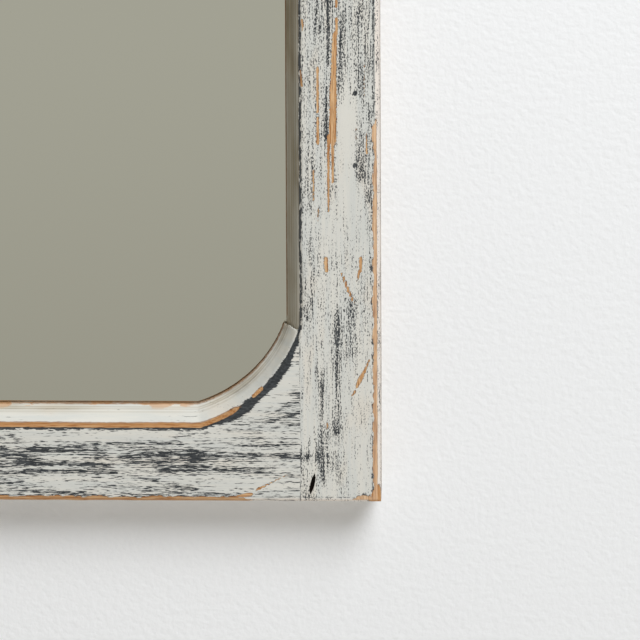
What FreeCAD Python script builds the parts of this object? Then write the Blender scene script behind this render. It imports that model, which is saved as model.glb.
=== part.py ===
import FreeCAD, Part
import math
import os

# A wall mirror in a bevelled pine frame, in millimetres.
# X runs to the viewer's right, Y from the viewer to the wall, Z up.
# The pieces are drawn about the middle of the frame, with the frame's back at Y = 0.
# On saving they move so that the origin lies midway between the two keyholes.

# Frame members
FRAME_WIDTH = 600.0
FRAME_HEIGHT = 900.0
FRAME_DEPTH = 25.0
STILE_FACE = 48.0
RAIL_FACE = 50.0
BEVEL_RUN = 8.4
BEVEL_DEPTH = 16.0
LIP_LAND = 1.0
RABBET_WIDTH = 10.0
OUTER_ROUND = 2.5
BACK_BREAK = 0.8
ARRIS_BREAK = 1.2

# Curved ears at the ends of the rails: each curve leaves the rail at some distance from the stile and
# climbs towards the stile, and the tip is trimmed off a little short of where they would meet
EAR_RADIUS = 91.0
EAR_RUN = 59.5
EAR_CLIMB = 65.5
EAR_TIP_CUT = 2.5
EAR_TRIM_FALL = 2.5

# Pitch pocket in the right stile, measured from the frame's lower right corner
POCKET_LENGTH = 14.6
POCKET_WIDTH = 2.4
POCKET_DEPTH = 5.0
POCKET_FROM_EDGE = 40.9
POCKET_FROM_END = 12.2
POCKET_LEAN_DEGREES = 11.0

# Dowels in the corner joints
DOWEL_RADIUS = 4.0
DOWEL_LENGTH = 40.0
DOWEL_FROM_EDGE = 20.0
DOWEL_SPACING = 36.0
DOWEL_FROM_FRONT = 9.0
DOWEL_CHAMFER = 1.0
DOWEL_CLEARANCE = 0.05
DOWEL_END_ROOM = 1.0

# Mirror glass, its setting blocks and the backing board
GLASS_THICKNESS = 4.0
GLASS_CLEARANCE = 2.0
GLASS_ARRIS = 0.6
BLOCK_LENGTH = 30.0
BLOCK_PLACE_SHARE = 0.25
BOARD_CLEARANCE = 1.0

# Turn buttons and their screws
BUTTON_THICKNESS = 1.2
BUTTON_PIVOT_RADIUS = 5.5
BUTTON_TIP_RADIUS = 4.0
BUTTON_REACH = 20.0
BUTTON_SETBACK = 9.0
BUTTON_PLAY = 0.2
BUTTON_PLACE_SHARE = 0.25
PIVOT_RADIUS = 1.5
PIVOT_CLEARANCE = 0.08
PIVOT_LENGTH = 12.0
PIVOT_TIP = 3.0
PAN_RADIUS = 3.2
PAN_HEIGHT = 1.6
PAN_ROUND = 0.9
RECESS_LENGTH = 3.4
RECESS_WIDTH = 0.9
RECESS_DEPTH = 0.8

# Keyhole plates, set into the backs of the stiles
HANGER_DROP = 100.0
HANGER_FROM_EDGE = 23.0
PLATE_LENGTH = 50.0
PLATE_WIDTH = 20.0
PLATE_THICKNESS = 2.0
PLATE_CLEARANCE = 0.3
KEYHOLE_RADIUS = 4.5
KEYHOLE_SLOT = 4.8
KEYHOLE_TRAVEL = 11.0
KEYHOLE_BELOW_MIDDLE = 5.5
HEAD_POCKET_WIDTH = 11.0
HEAD_POCKET_DEPTH = 7.0
PLATE_SCREW_SPACING = 37.0
PLATE_SCREW_RADIUS = 1.75
PLATE_SCREW_LENGTH = 14.0
PLATE_SCREW_TIP = 3.5
PLATE_HEAD_RADIUS = 3.4
PLATE_HEAD_DEPTH = 1.6
SCREW_CLEARANCE = 0.05

# Wall bumpers
BUMPER_RADIUS = 6.0
BUMPER_FACE_RADIUS = 5.0
BUMPER_HEIGHT = 4.0
BUMPER_FROM_EDGE = 20.0
BUMPER_FROM_END = 24.0

# One overrun for every cut that must pass through a face, and how near counts as the same place
OVERRUN = 5.0
SAME_PLACE = 0.01

# Places worked out from the sizes above
HALF_WIDTH = FRAME_WIDTH / 2
HALF_HEIGHT = FRAME_HEIGHT / 2
FRONT = -FRAME_DEPTH
OPENING_X = HALF_WIDTH - STILE_FACE
OPENING_Z = HALF_HEIGHT - RAIL_FACE
LIP_X = OPENING_X - BEVEL_RUN
LIP_Z = OPENING_Z - BEVEL_RUN
RABBET_X = LIP_X + RABBET_WIDTH
RABBET_Z = LIP_Z + RABBET_WIDTH
LIP_BACK = FRONT + BEVEL_DEPTH + LIP_LAND
GLASS_BACK = LIP_BACK + GLASS_THICKNESS
EAR_TOP = OPENING_Z - EAR_CLIMB + EAR_TIP_CUT
DOWEL_Y = FRONT + DOWEL_FROM_FRONT
DOWEL_X = OPENING_X - BEVEL_RUN * DOWEL_FROM_FRONT / BEVEL_DEPTH
DOWEL_PLACES = [HALF_HEIGHT - DOWEL_FROM_EDGE - step * DOWEL_SPACING for step in (0, 1)]
HANGER_X = HALF_WIDTH - HANGER_FROM_EDGE
HANGER_Z = HALF_HEIGHT - HANGER_DROP
BUMPER_X = HALF_WIDTH - BUMPER_FROM_EDGE
BUMPER_Z = HALF_HEIGHT - BUMPER_FROM_END
BUTTON_X = RABBET_X + BUTTON_SETBACK
BUTTON_Z = RABBET_Z + BUTTON_SETBACK
BUTTON_ALONG_X = FRAME_WIDTH * BUTTON_PLACE_SHARE
BUTTON_ALONG_Z = FRAME_HEIGHT * BUTTON_PLACE_SHARE
PAN_SEAT = BUTTON_THICKNESS + 2 * BUTTON_PLAY

Vector = FreeCAD.Vector
ACROSS = Vector(1, 0, 0)
TO_WALL = Vector(0, 1, 0)
TO_VIEWER = Vector(0, -1, 0)
UP = Vector(0, 0, 1)
CENTRE = Vector(0, 0, 0)


# Shared shapes


def block(low, high):
    """A box between two opposite corners."""
    size = [end - start for start, end in zip(low, high)]
    return Part.makeBox(*size, Vector(*low))


def rod(radius, length, start, direction):
    """A round bar from a start point along a direction."""
    return Part.makeCylinder(radius, length, start, direction)


def mirrored(shape, normal):
    """The shape on the other side of the middle plane with this normal."""
    return shape.mirror(CENTRE, normal)


def round_plug(start, radius_front, radius_back, length):
    """A round bar towards the wall, straight or tapered."""
    if radius_front == radius_back:
        return rod(radius_front, length, start, TO_WALL)
    return Part.makeCone(radius_front, radius_back, length, start, TO_WALL)


def ear_centre():
    """The middle of the circle that the curve of the upper right ear follows."""
    at_rail = Vector(OPENING_X - EAR_RUN, 0, OPENING_Z)
    at_stile = Vector(OPENING_X, 0, OPENING_Z - EAR_CLIMB)
    chord = at_stile - at_rail
    from_chord = math.sqrt(EAR_RADIUS**2 - (chord.Length / 2) ** 2)
    inward = Vector(chord.z, 0, -chord.x).normalize()
    return (at_rail + at_stile) / 2 + inward * from_chord


def opening_cutter(grow_front, y_front, grow_back, y_back):
    """A tapered plug with the outline of the opening, grown by one amount at each end."""
    front_x = OPENING_X + grow_front
    front_z = OPENING_Z + grow_front
    back_x = OPENING_X + grow_back
    back_z = OPENING_Z + grow_back
    low = (-front_x, y_front, -front_z, -back_z, -back_x)
    high = (front_x, y_back, front_z, back_z, back_x)
    plug = Part.makeWedge(*low, *high)
    centre = ear_centre()
    start = Vector(centre.x, y_front, centre.z)
    curve = round_plug(start, EAR_RADIUS + grow_front, EAR_RADIUS + grow_back, y_back - y_front)
    corner = block((centre.x, y_front, centre.z), (HALF_WIDTH + OVERRUN, y_back, HALF_HEIGHT + OVERRUN))
    ear = corner.cut(curve)
    ears = [ear, mirrored(ear, ACROSS)]
    return plug.cut(ears + [mirrored(upper, UP) for upper in ears])


def obround(width, length, y_from, y_to):
    """A plug with half round ends, upright along Z and centred on the Y axis."""
    radius = width / 2
    straight = (length - width) / 2
    depth = y_to - y_from
    middle = block((-radius, y_from, -straight), (radius, y_to, straight))
    ends = [rod(radius, depth, Vector(0, y_from, place), TO_WALL) for place in (-straight, straight)]
    return middle.multiFuse(ends).removeSplitter()


def placed(shape, x, z):
    """A copy of the shape moved across the back of the frame."""
    moved = shape.copy()
    moved.translate(Vector(x, 0, z))
    return moved


def save(name, *solids):
    """Writes one piece, or a group of like pieces, in the frame of the wall mount."""
    shape = solids[0] if len(solids) == 1 else Part.makeCompound(list(solids))
    moved = shape.copy()
    moved.translate(Vector(0, 0, -HANGER_Z))
    moved.exportStep(f"parts/{name}.step")


# Screws


def screw_body(radius, length, tip):
    """A shank with a pointed end, from the back of the frame into the wood."""
    shank = rod(radius, length - tip, CENTRE, TO_VIEWER)
    point = Part.makeCone(radius, 0, tip, Vector(0, tip - length, 0), TO_VIEWER)
    return shank.fuse(point).removeSplitter()


def cross_recess(top):
    """Two crossed slots for a screwdriver, open at the top of a screw head."""
    half_length = RECESS_LENGTH / 2
    half_width = RECESS_WIDTH / 2
    low = top - RECESS_DEPTH
    high = top + OVERRUN
    upright = block((-half_width, low, -half_length), (half_width, high, half_length))
    level = block((-half_length, low, -half_width), (half_length, high, half_width))
    return upright.fuse(level)


def turn_button_screw():
    """A pan head screw, with a plain neck that the turn button swings on."""
    neck = rod(PIVOT_RADIUS, PAN_SEAT, CENTRE, TO_WALL)
    head = rod(PAN_RADIUS, PAN_HEIGHT, Vector(0, PAN_SEAT, 0), TO_WALL)
    rim = [edge for edge in head.Edges if edge.BoundBox.YMin > PAN_SEAT and edge.Closed]
    head = head.makeFillet(PAN_ROUND, rim)
    whole = screw_body(PIVOT_RADIUS, PIVOT_LENGTH, PIVOT_TIP).multiFuse([neck, head]).removeSplitter()
    return whole.cut(cross_recess(PAN_SEAT + PAN_HEIGHT))


def plate_screw():
    """A countersunk screw, flush with the outer face of the hanger plate."""
    head = Part.makeCone(PLATE_HEAD_RADIUS, PLATE_SCREW_RADIUS, PLATE_HEAD_DEPTH, CENTRE, TO_VIEWER)
    body = screw_body(PLATE_SCREW_RADIUS, PLATE_SCREW_LENGTH, PLATE_SCREW_TIP)
    return body.fuse(head).removeSplitter().cut(cross_recess(0))


# Hanger plates


def keyhole(radius, slot, y_from, y_to):
    """A round entry with a narrower slot running up from it, centred on the entry."""
    depth = y_to - y_from
    entry = rod(radius, depth, Vector(0, y_from, 0), TO_WALL)
    half_slot = slot / 2
    channel = block((-half_slot, y_from, 0), (half_slot, y_to, KEYHOLE_TRAVEL))
    top = rod(half_slot, depth, Vector(0, y_from, KEYHOLE_TRAVEL), TO_WALL)
    return entry.multiFuse([channel, top]).removeSplitter()


def plate_screw_places():
    """Heights of the two plate screws above the keyhole's entry."""
    half = PLATE_SCREW_SPACING / 2
    return [KEYHOLE_BELOW_MIDDLE - half, KEYHOLE_BELOW_MIDDLE + half]


def hanger_plate():
    """A keyhole plate with two countersunk holes, centred on the keyhole's entry."""
    width = PLATE_WIDTH - 2 * PLATE_CLEARANCE
    length = PLATE_LENGTH - 2 * PLATE_CLEARANCE
    plate = placed(obround(width, length, -PLATE_THICKNESS, 0), 0, KEYHOLE_BELOW_MIDDLE)
    plate = plate.cut(keyhole(KEYHOLE_RADIUS, KEYHOLE_SLOT, -PLATE_THICKNESS - OVERRUN, OVERRUN))
    hole_radius = PLATE_SCREW_RADIUS + SCREW_CLEARANCE
    head_radius = PLATE_HEAD_RADIUS + SCREW_CLEARANCE
    hole = rod(hole_radius, PLATE_THICKNESS + OVERRUN, CENTRE, TO_VIEWER)
    sink = Part.makeCone(head_radius, hole_radius, PLATE_HEAD_DEPTH, CENTRE, TO_VIEWER)
    for height in plate_screw_places():
        plate = plate.cut(placed(hole.fuse(sink), 0, height))
    return plate


def hanger_recess():
    """What the stile loses behind a hanger plate: plate seat, head pocket and two pilot holes."""
    seat = placed(obround(PLATE_WIDTH, PLATE_LENGTH, -PLATE_THICKNESS, OVERRUN), 0, KEYHOLE_BELOW_MIDDLE)
    pocket_floor = -PLATE_THICKNESS - HEAD_POCKET_DEPTH
    pocket = keyhole(HEAD_POCKET_WIDTH / 2, HEAD_POCKET_WIDTH, pocket_floor, 0)
    pilot_radius = PLATE_SCREW_RADIUS + SCREW_CLEARANCE
    pilot = screw_body(pilot_radius, PLATE_SCREW_LENGTH + SCREW_CLEARANCE, PLATE_SCREW_TIP)
    pilots = [placed(pilot, 0, height) for height in plate_screw_places()]
    return seat.multiFuse([pocket] + pilots)


# Turn buttons


def turn_button():
    """A flat tongue with a round pivot end and a round tip, pointing along +X."""
    reach = BUTTON_REACH
    lean = math.asin((BUTTON_PIVOT_RADIUS - BUTTON_TIP_RADIUS) / reach)
    outward = Vector(math.sin(lean), 0, math.cos(lean))
    pivot_top = outward * BUTTON_PIVOT_RADIUS
    tip_top = Vector(reach, 0, 0) + outward * BUTTON_TIP_RADIUS
    pivot_low = Vector(pivot_top.x, 0, -pivot_top.z)
    tip_low = Vector(tip_top.x, 0, -tip_top.z)
    tip_end = Vector(reach + BUTTON_TIP_RADIUS, 0, 0)
    heel = Vector(-BUTTON_PIVOT_RADIUS, 0, 0)
    edges = [
        Part.makeLine(pivot_top, tip_top),
        Part.Arc(tip_top, tip_end, tip_low).toShape(),
        Part.makeLine(tip_low, pivot_low),
        Part.Arc(pivot_low, heel, pivot_top).toShape(),
    ]
    tongue = Part.Face(Part.Wire(edges)).extrude(TO_WALL * BUTTON_THICKNESS)
    tongue.translate(TO_WALL * BUTTON_PLAY)
    return tongue.cut(rod(PIVOT_RADIUS + PIVOT_CLEARANCE, PAN_SEAT + OVERRUN, CENTRE, TO_WALL))


def button_places():
    """Name, place on the back and heading in degrees of every turn button, pointing inwards."""
    places = []
    for side, sign in (("left", -1), ("right", 1)):
        heading = 180 if sign > 0 else 0
        places.append((f"{side}_upper", sign * BUTTON_X, BUTTON_ALONG_Z, heading))
        places.append((f"{side}_lower", sign * BUTTON_X, -BUTTON_ALONG_Z, heading))
    for level, sign in (("bottom", -1), ("top", 1)):
        heading = 90 if sign > 0 else -90
        places.append((f"{level}_left", -BUTTON_ALONG_X, sign * BUTTON_Z, heading))
        places.append((f"{level}_right", BUTTON_ALONG_X, sign * BUTTON_Z, heading))
    return places


def button_pilots():
    """The holes for all turn button screws."""
    pilot = screw_body(PIVOT_RADIUS + SCREW_CLEARANCE, PIVOT_LENGTH + SCREW_CLEARANCE, PIVOT_TIP)
    return [placed(pilot, x, z) for _, x, z, _ in button_places()]


# Frame members


def rabbet():
    """The rectangular recess behind the lips, for the glass and the board."""
    return block((-RABBET_X, LIP_BACK, -RABBET_Z), (RABBET_X, OVERRUN, RABBET_Z))


def arris_cutter():
    """A plug tapered at 45 degrees that breaks the front arris of the opening."""
    grow = ARRIS_BREAK + OVERRUN
    return opening_cutter(grow, FRONT - OVERRUN, -OVERRUN, FRONT + ARRIS_BREAK + OVERRUN)


def bevel_cutter():
    """The main plug of the opening: a taper down to the lip, then straight past it."""
    overrun_run = BEVEL_RUN * OVERRUN / BEVEL_DEPTH
    taper = opening_cutter(overrun_run, FRONT - OVERRUN, -BEVEL_RUN, FRONT + BEVEL_DEPTH)
    straight = opening_cutter(-BEVEL_RUN, FRONT + BEVEL_DEPTH, -BEVEL_RUN, OVERRUN)
    return taper.fuse(straight)


def dowel_holes():
    """Holes for the two dowels of the top right joint."""
    radius = DOWEL_RADIUS + DOWEL_CLEARANCE
    length = DOWEL_LENGTH + 2 * DOWEL_END_ROOM
    start = DOWEL_X - length / 2
    return [rod(radius, length, Vector(start, DOWEL_Y, z), ACROSS) for z in DOWEL_PLACES]


def eased(shape, edges_round, edges_break):
    """The shape with rounded front edges and small breaks on its back edges."""
    rounded = shape.makeFillet(OUTER_ROUND, edges_round(shape))
    return rounded.makeChamfer(BACK_BREAK, edges_break(rounded))


def edges_on(x=None, y=None, z=None):
    """Picks the straight edges that lie wholly at the given coordinates."""
    wanted = [(axis, value) for axis, value in (("X", x), ("Y", y), ("Z", z)) if value is not None]

    def pick(shape):
        chosen = []
        for edge in shape.Edges:
            bounds = edge.BoundBox
            ends = {
                "X": (bounds.XMin, bounds.XMax),
                "Y": (bounds.YMin, bounds.YMax),
                "Z": (bounds.ZMin, bounds.ZMax),
            }
            if all(abs(end - value) < SAME_PLACE for axis, value in wanted for end in ends[axis]):
                chosen.append(edge)
        return chosen

    return pick


def stile_blank():
    """The right stile before any holes: a bevelled profile drawn up the frame's full height."""
    profile = [
        Vector(HALF_WIDTH, FRONT, -HALF_HEIGHT),
        Vector(OPENING_X, FRONT, -HALF_HEIGHT),
        Vector(LIP_X, FRONT + BEVEL_DEPTH, -HALF_HEIGHT),
        Vector(LIP_X, 0, -HALF_HEIGHT),
        Vector(HALF_WIDTH, 0, -HALF_HEIGHT),
    ]
    face = Part.Face(Part.makePolygon(profile + profile[:1]))
    return face.extrude(UP * FRAME_HEIGHT)


def outer_ends(shape):
    """The front edges of a stile that lie on the outside of the frame."""
    long_edge = edges_on(x=HALF_WIDTH, y=FRONT)(shape)
    ends = edges_on(y=FRONT, z=HALF_HEIGHT)(shape) + edges_on(y=FRONT, z=-HALF_HEIGHT)(shape)
    return long_edge + ends


def stile():
    """The right stile with rounded edges, rabbet, broken arris and dowel holes."""
    shape = eased(stile_blank(), outer_ends, edges_on(x=HALF_WIDTH, y=0))
    shape = shape.cut(rabbet()).cut(arris_cutter())
    upper = dowel_holes()
    lower = [mirrored(hole, UP) for hole in upper]
    recess = placed(hanger_recess(), HANGER_X, HANGER_Z)
    return shape.cut(upper + lower + [recess])


def pitch_pocket():
    """A lens shaped slit in the front of the right stile, where a pocket of resin fell out."""
    half_length = POCKET_LENGTH / 2
    half_width = POCKET_WIDTH / 2
    top = Vector(0, 0, half_length)
    low = Vector(0, 0, -half_length)
    right = Part.Arc(top, Vector(half_width, 0, 0), low).toShape()
    left = Part.Arc(low, Vector(-half_width, 0, 0), top).toShape()
    slit = Part.Face(Part.Wire([right, left])).extrude(TO_WALL * (POCKET_DEPTH + OVERRUN))
    slit.rotate(CENTRE, TO_WALL, POCKET_LEAN_DEGREES)
    slit.translate(Vector(HALF_WIDTH - POCKET_FROM_EDGE, FRONT - OVERRUN, POCKET_FROM_END - HALF_HEIGHT))
    return slit


def ear_trim():
    """The wedge below the top rail's ears: it rises from the lip towards the front."""
    fall_over_depth = EAR_TRIM_FALL / (BEVEL_DEPTH + LIP_LAND)
    front_z = EAR_TOP - fall_over_depth * OVERRUN
    back_z = EAR_TOP + fall_over_depth * (FRAME_DEPTH + OVERRUN)
    profile = [
        Vector(-HALF_WIDTH, FRONT - OVERRUN, front_z),
        Vector(-HALF_WIDTH, OVERRUN, back_z),
        Vector(-HALF_WIDTH, OVERRUN, -HALF_HEIGHT),
        Vector(-HALF_WIDTH, FRONT - OVERRUN, -HALF_HEIGHT),
    ]
    face = Part.Face(Part.makePolygon(profile + profile[:1]))
    return face.extrude(ACROSS * FRAME_WIDTH)


def rail(right_stile_blank):
    """The top rail with its ears, coped over the bevels of both stiles."""
    shape = block((-OPENING_X, FRONT, 0), (OPENING_X, 0, HALF_HEIGHT))
    shape = eased(shape, edges_on(y=FRONT, z=HALF_HEIGHT), edges_on(y=0, z=HALF_HEIGHT))
    stiles = [right_stile_blank, mirrored(right_stile_blank, ACROSS)]
    holes = dowel_holes()
    holes = holes + [mirrored(hole, ACROSS) for hole in holes]
    return shape.cut([ear_trim(), bevel_cutter(), arris_cutter(), rabbet()] + stiles + holes)


def dowel_pair():
    """The two dowels of the top right joint, chamfered at both ends."""
    dowels = []
    for z in DOWEL_PLACES:
        dowel = rod(DOWEL_RADIUS, DOWEL_LENGTH, Vector(DOWEL_X - DOWEL_LENGTH / 2, DOWEL_Y, z), ACROSS)
        rims = [edge for edge in dowel.Edges if edge.Closed and edge.BoundBox.XLength < SAME_PLACE]
        dowels.append(dowel.makeChamfer(DOWEL_CHAMFER, rims))
    return dowels


def save_frame():
    """Stiles, rails and dowels: one of each is drawn, and the others are its mirror images."""
    pilots = button_pilots()
    right = stile()
    top = rail(stile_blank())
    save("right_stile", right.cut(pilots + [pitch_pocket()]))
    save("left_stile", mirrored(right, ACROSS).cut(pilots))
    save("top_rail", top.cut(pilots))
    save("bottom_rail", mirrored(top, UP).cut(pilots))
    pair = dowel_pair()
    lower_pair = [mirrored(dowel, UP) for dowel in pair]
    for level, dowels in (("top", pair), ("bottom", lower_pair)):
        save(f"dowels_{level}_right", *dowels)
        save(f"dowels_{level}_left", *[mirrored(dowel, ACROSS) for dowel in dowels])


# Glass, board and blocks


def mirror_glass():
    """The silvered pane, with its sharp edges ground off."""
    half_x = RABBET_X - GLASS_CLEARANCE
    half_z = RABBET_Z - GLASS_CLEARANCE
    pane = block((-half_x, LIP_BACK, -half_z), (half_x, GLASS_BACK, half_z))
    rims = [edge for edge in pane.Edges if edge.BoundBox.YLength < SAME_PLACE]
    return pane.makeChamfer(GLASS_ARRIS, rims)


def setting_blocks():
    """Two blocks on the floor of the rabbet that carry the pane."""
    half_length = BLOCK_LENGTH / 2
    blocks = []
    for sign in (-1, 1):
        middle = sign * FRAME_WIDTH * BLOCK_PLACE_SHARE
        low = (middle - half_length, LIP_BACK, -RABBET_Z)
        high = (middle + half_length, GLASS_BACK, GLASS_CLEARANCE - RABBET_Z)
        blocks.append(block(low, high))
    return blocks


def backing_board():
    """The board behind the pane, flush with the back of the frame."""
    half_x = RABBET_X - BOARD_CLEARANCE
    half_z = RABBET_Z - BOARD_CLEARANCE
    return block((-half_x, GLASS_BACK, -half_z), (half_x, 0, half_z))


def save_infill():
    """What sits in the rabbet."""
    save("mirror_glass", mirror_glass())
    save("setting_blocks", *setting_blocks())
    save("backing_board", backing_board())


# Back fittings


def save_turn_buttons():
    """Every turn button in a node of its own, and their screws as a group."""
    tongue = turn_button()
    screw = turn_button_screw()
    screws = []
    for name, x, z, heading in button_places():
        turned = tongue.copy()
        turned.rotate(CENTRE, TO_WALL, heading)
        save(f"turn_button_{name}", placed(turned, x, z))
        screws.append(placed(screw, x, z))
    save("turn_button_screws", *screws)


def save_hangers():
    """The two keyhole plates and their screws."""
    plate = hanger_plate()
    screw = plate_screw()
    screws = []
    for side, sign in (("left", -1), ("right", 1)):
        save(f"hanger_plate_{side}", placed(plate, sign * HANGER_X, HANGER_Z))
        for height in plate_screw_places():
            screws.append(placed(screw, sign * HANGER_X, HANGER_Z + height))
    save("hanger_plate_screws", *screws)


def save_bumpers():
    """Four tapered rubber pads that stand the frame off the wall."""
    pad = Part.makeCone(BUMPER_RADIUS, BUMPER_FACE_RADIUS, BUMPER_HEIGHT, CENTRE, TO_WALL)
    for level, sign_z in (("bottom", -1), ("top", 1)):
        for side, sign_x in (("left", -1), ("right", 1)):
            save(f"wall_bumper_{level}_{side}", placed(pad, sign_x * BUMPER_X, sign_z * BUMPER_Z))


os.makedirs("parts", exist_ok=True)
save_frame()
save_infill()
save_turn_buttons()
save_hangers()
save_bumpers()
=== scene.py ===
import itertools
import math
from collections import namedtuple
from functools import partial, reduce
from types import SimpleNamespace

import bpy
import numpy as np
from mathutils import Color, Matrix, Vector


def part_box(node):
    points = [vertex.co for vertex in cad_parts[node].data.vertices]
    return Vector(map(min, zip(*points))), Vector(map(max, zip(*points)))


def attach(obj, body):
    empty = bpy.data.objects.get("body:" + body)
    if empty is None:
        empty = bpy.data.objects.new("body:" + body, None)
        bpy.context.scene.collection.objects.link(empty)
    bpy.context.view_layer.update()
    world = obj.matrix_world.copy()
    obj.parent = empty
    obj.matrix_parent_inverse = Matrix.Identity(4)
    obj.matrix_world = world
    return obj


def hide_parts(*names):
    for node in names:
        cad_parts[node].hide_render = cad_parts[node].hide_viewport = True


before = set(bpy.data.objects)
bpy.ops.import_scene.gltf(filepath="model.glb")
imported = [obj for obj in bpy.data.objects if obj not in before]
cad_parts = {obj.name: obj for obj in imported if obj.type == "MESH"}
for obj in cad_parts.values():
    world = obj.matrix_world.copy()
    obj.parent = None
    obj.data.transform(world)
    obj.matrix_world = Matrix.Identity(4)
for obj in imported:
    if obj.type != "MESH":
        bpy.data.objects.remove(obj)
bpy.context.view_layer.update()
scene = bpy.context.scene

# Sizes of the frame, in metres. X runs to the viewer's right, Y to the wall, Z up.
STILE_FACE = 0.048
RAIL_FACE = 0.05
BEVEL_RUN = 0.0084
MEMBERS = ("left_stile", "right_stile", "top_rail", "bottom_rail")
LEFT_LOW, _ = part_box("left_stile")
_, RIGHT_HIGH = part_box("right_stile")
_, BUMPER_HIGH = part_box("wall_bumper_top_right")
LEFT_X = LEFT_LOW.x
RIGHT_X = RIGHT_HIGH.x
BOTTOM_Z = LEFT_LOW.z
TOP_Z = RIGHT_HIGH.z
FRONT_Y = LEFT_LOW.y
WALL_Y = BUMPER_HIGH.y
HALF_WIDTH = (RIGHT_X - LEFT_X) / 2
HALF_HEIGHT = (TOP_Z - BOTTOM_Z) / 2
MIDDLE_Z = (TOP_Z + BOTTOM_Z) / 2
OPENING_X = HALF_WIDTH - STILE_FACE
OPENING_Z = HALF_HEIGHT - RAIL_FACE

# The curve of the ears, and how far the middle of its circle and its tip lie from the middle of the frame
EAR_RADIUS = 0.091
EAR_RUN = 0.0595
EAR_CLIMB = 0.0655
EAR_CHORD = math.hypot(EAR_RUN, EAR_CLIMB)
EAR_FROM_CHORD = math.sqrt(EAR_RADIUS**2 - (EAR_CHORD / 2) ** 2)
EAR_X = OPENING_X - EAR_RUN / 2 - EAR_FROM_CHORD * EAR_CLIMB / EAR_CHORD
EAR_Z = OPENING_Z - EAR_CLIMB / 2 - EAR_FROM_CHORD * EAR_RUN / EAR_CHORD
EAR_TIP = OPENING_Z - EAR_CLIMB

# The corner that the photograph shows, where streaks and patches are listed one by one
CORNER_WIDTH = 0.235
CORNER_HEIGHT = 0.335


def add_object(name, data):
    """A new object in the scene."""
    piece = bpy.data.objects.new(name, data)
    scene.collection.objects.link(piece)
    return piece


def coat(mesh, material):
    """Gives a mesh one material."""
    mesh.materials.clear()
    mesh.materials.append(material)


# Noise on points

NOISE_TABLE = 8192
NOISE_PRIMES = np.array((73856093, 19349663, 83492791))


def value_noise(points, cell, seed):
    """Smooth noise from 0 to 1 at the points, with one cell size or one for each axis."""
    table = np.random.default_rng(seed).random(NOISE_TABLE)
    scaled = points / np.asarray(cell)
    base = np.floor(scaled).astype(np.int64)
    part = scaled - base
    part = part * part * (3 - 2 * part)
    total = np.zeros(len(points))
    for corner in itertools.product((0, 1), repeat=3):
        mixed = np.bitwise_xor.reduce((base + np.array(corner)) * NOISE_PRIMES, axis=1)
        weight = np.prod(np.where(np.array(corner) == 1, part, 1 - part), axis=1)
        total += weight * table[mixed % NOISE_TABLE]
    return total


def ramp(value, low, high):
    """0 below low, 1 above high, straight between."""
    return np.clip((value - low) / (high - low), 0, 1)


# Places on the frame


def opening_gap(points):
    """Distance from the front outline of the opening: positive on the face, negative inside."""
    across = np.abs(points[:, 0])
    upright = np.abs(points[:, 2] - MIDDLE_Z)
    straight = np.maximum(across - OPENING_X, upright - OPENING_Z)
    curve = np.hypot(across - EAR_X, upright - EAR_Z) - EAR_RADIUS
    near_ear = (across > EAR_X) & (upright > EAR_Z)
    return np.where(near_ear, np.maximum(straight, curve), straight)


def outer_gap(points):
    """Distance from the outer edge of the frame."""
    across = HALF_WIDTH - np.abs(points[:, 0])
    upright = HALF_HEIGHT - np.abs(points[:, 2] - MIDDLE_Z)
    return np.minimum(across, upright)


def in_corner(points):
    """True within the corner that the photograph shows."""
    return (points[:, 0] > RIGHT_X - CORNER_WIDTH) & (points[:, 2] < BOTTOM_Z + CORNER_HEIGHT)


# Wear drawn one by one

# A tapered streak on the face of the frame, from one point to another
Stroke = namedtuple("Stroke", "start end start_half end_half weight")


def shown_stroke(row, width, height, face):
    """A stroke on the shown corner, from a row of shares of these sizes."""
    left, up, half, left_end, up_end, half_end, weight = row
    start = (RIGHT_X - left * width, BOTTOM_Z + up * height)
    end = (RIGHT_X - left_end * width, BOTTOM_Z + up_end * height)
    return Stroke(start, end, half * face, half_end * face, weight)


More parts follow.
